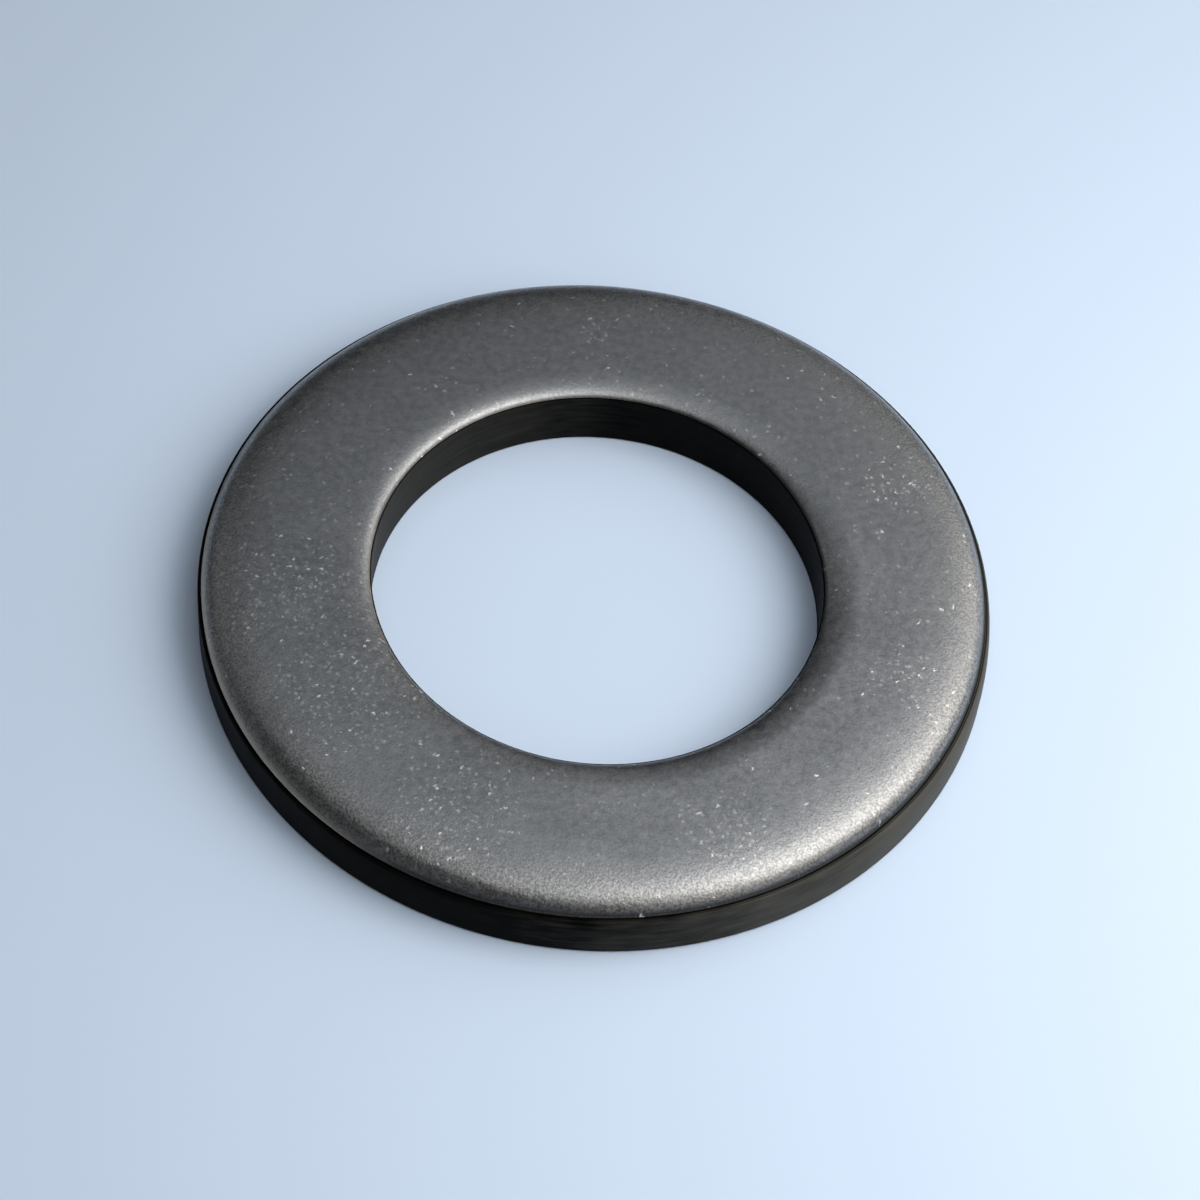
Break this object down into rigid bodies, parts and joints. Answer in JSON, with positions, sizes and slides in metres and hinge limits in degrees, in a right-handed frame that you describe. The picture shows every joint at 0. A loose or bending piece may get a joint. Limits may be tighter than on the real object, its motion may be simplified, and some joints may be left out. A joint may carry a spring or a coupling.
{
  "type": "flat washer",
  "caption": "Punched steel flat washer with rolled upper edges at the rim and the bore, dark tumbled finish, for an M24 bolt.",
  "frame": {"origin": "centre of the bottom face, on the axis of the bore", "axes": "+Z along the axis of the bore, from the flat bottom face towards the face with the rolled edges; X and Y are any two radial directions"},
  "size_m": [0.044, 0.044, 0.004],
  "materials": {
    "black_steel": "black oxide over a tumbled surface, satin, with fine bright nicks"
  },
  "bodies": {
    "root": {"washer_ring": "black_steel"}
  },
  "joints": []
}
